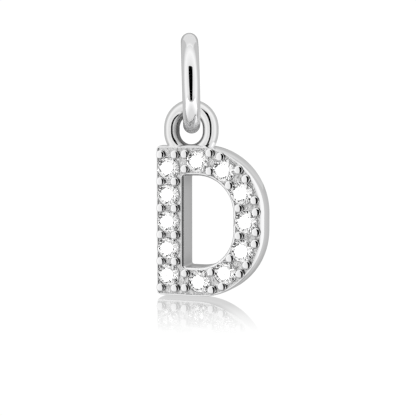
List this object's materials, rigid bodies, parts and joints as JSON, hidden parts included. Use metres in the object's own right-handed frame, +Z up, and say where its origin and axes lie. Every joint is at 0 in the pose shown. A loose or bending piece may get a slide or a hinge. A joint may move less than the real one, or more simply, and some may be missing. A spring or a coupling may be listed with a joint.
{
  "type": "initial pendant",
  "caption": "Small polished letter D charm set with round clear stones, with a soldered loop on top that hangs in a plain round jump ring.",
  "frame": {"origin": "highest point inside the jump ring, where a chain, hook or split ring carries the pendant", "axes": "+Z up as the pendant hangs, the letter's stone-set face looks along -Y, and the letter reads from -X to +X"},
  "size_m": [0.0059, 0.005, 0.0138],
  "materials": {
    "silver": "mirror-polished sterling silver with a bright rhodium plating",
    "clear_stone": "clear cubic zirconia with flat polished facets"
  },
  "bodies": {
    "ring": {"jump_ring": "silver"},
    "drop": {"letter": "silver", "stone_01": "clear_stone", "stone_02": "clear_stone", "stone_03": "clear_stone", "stone_04": "clear_stone", "stone_05": "clear_stone", "stone_06": "clear_stone", "stone_07": "clear_stone", "stone_08": "clear_stone", "stone_09": "clear_stone", "stone_10": "clear_stone", "stone_11": "clear_stone", "stone_12": "clear_stone"}
  },
  "joints": [
    {"name": "drop_swing", "type": "hinge", "parent": "ring", "child": "drop", "pos_m": [0.00004, 0.00002, -0.00172], "axis": [0.9394, 0.3419, 0.0262], "range_deg": [-90, 90]}
  ]
}
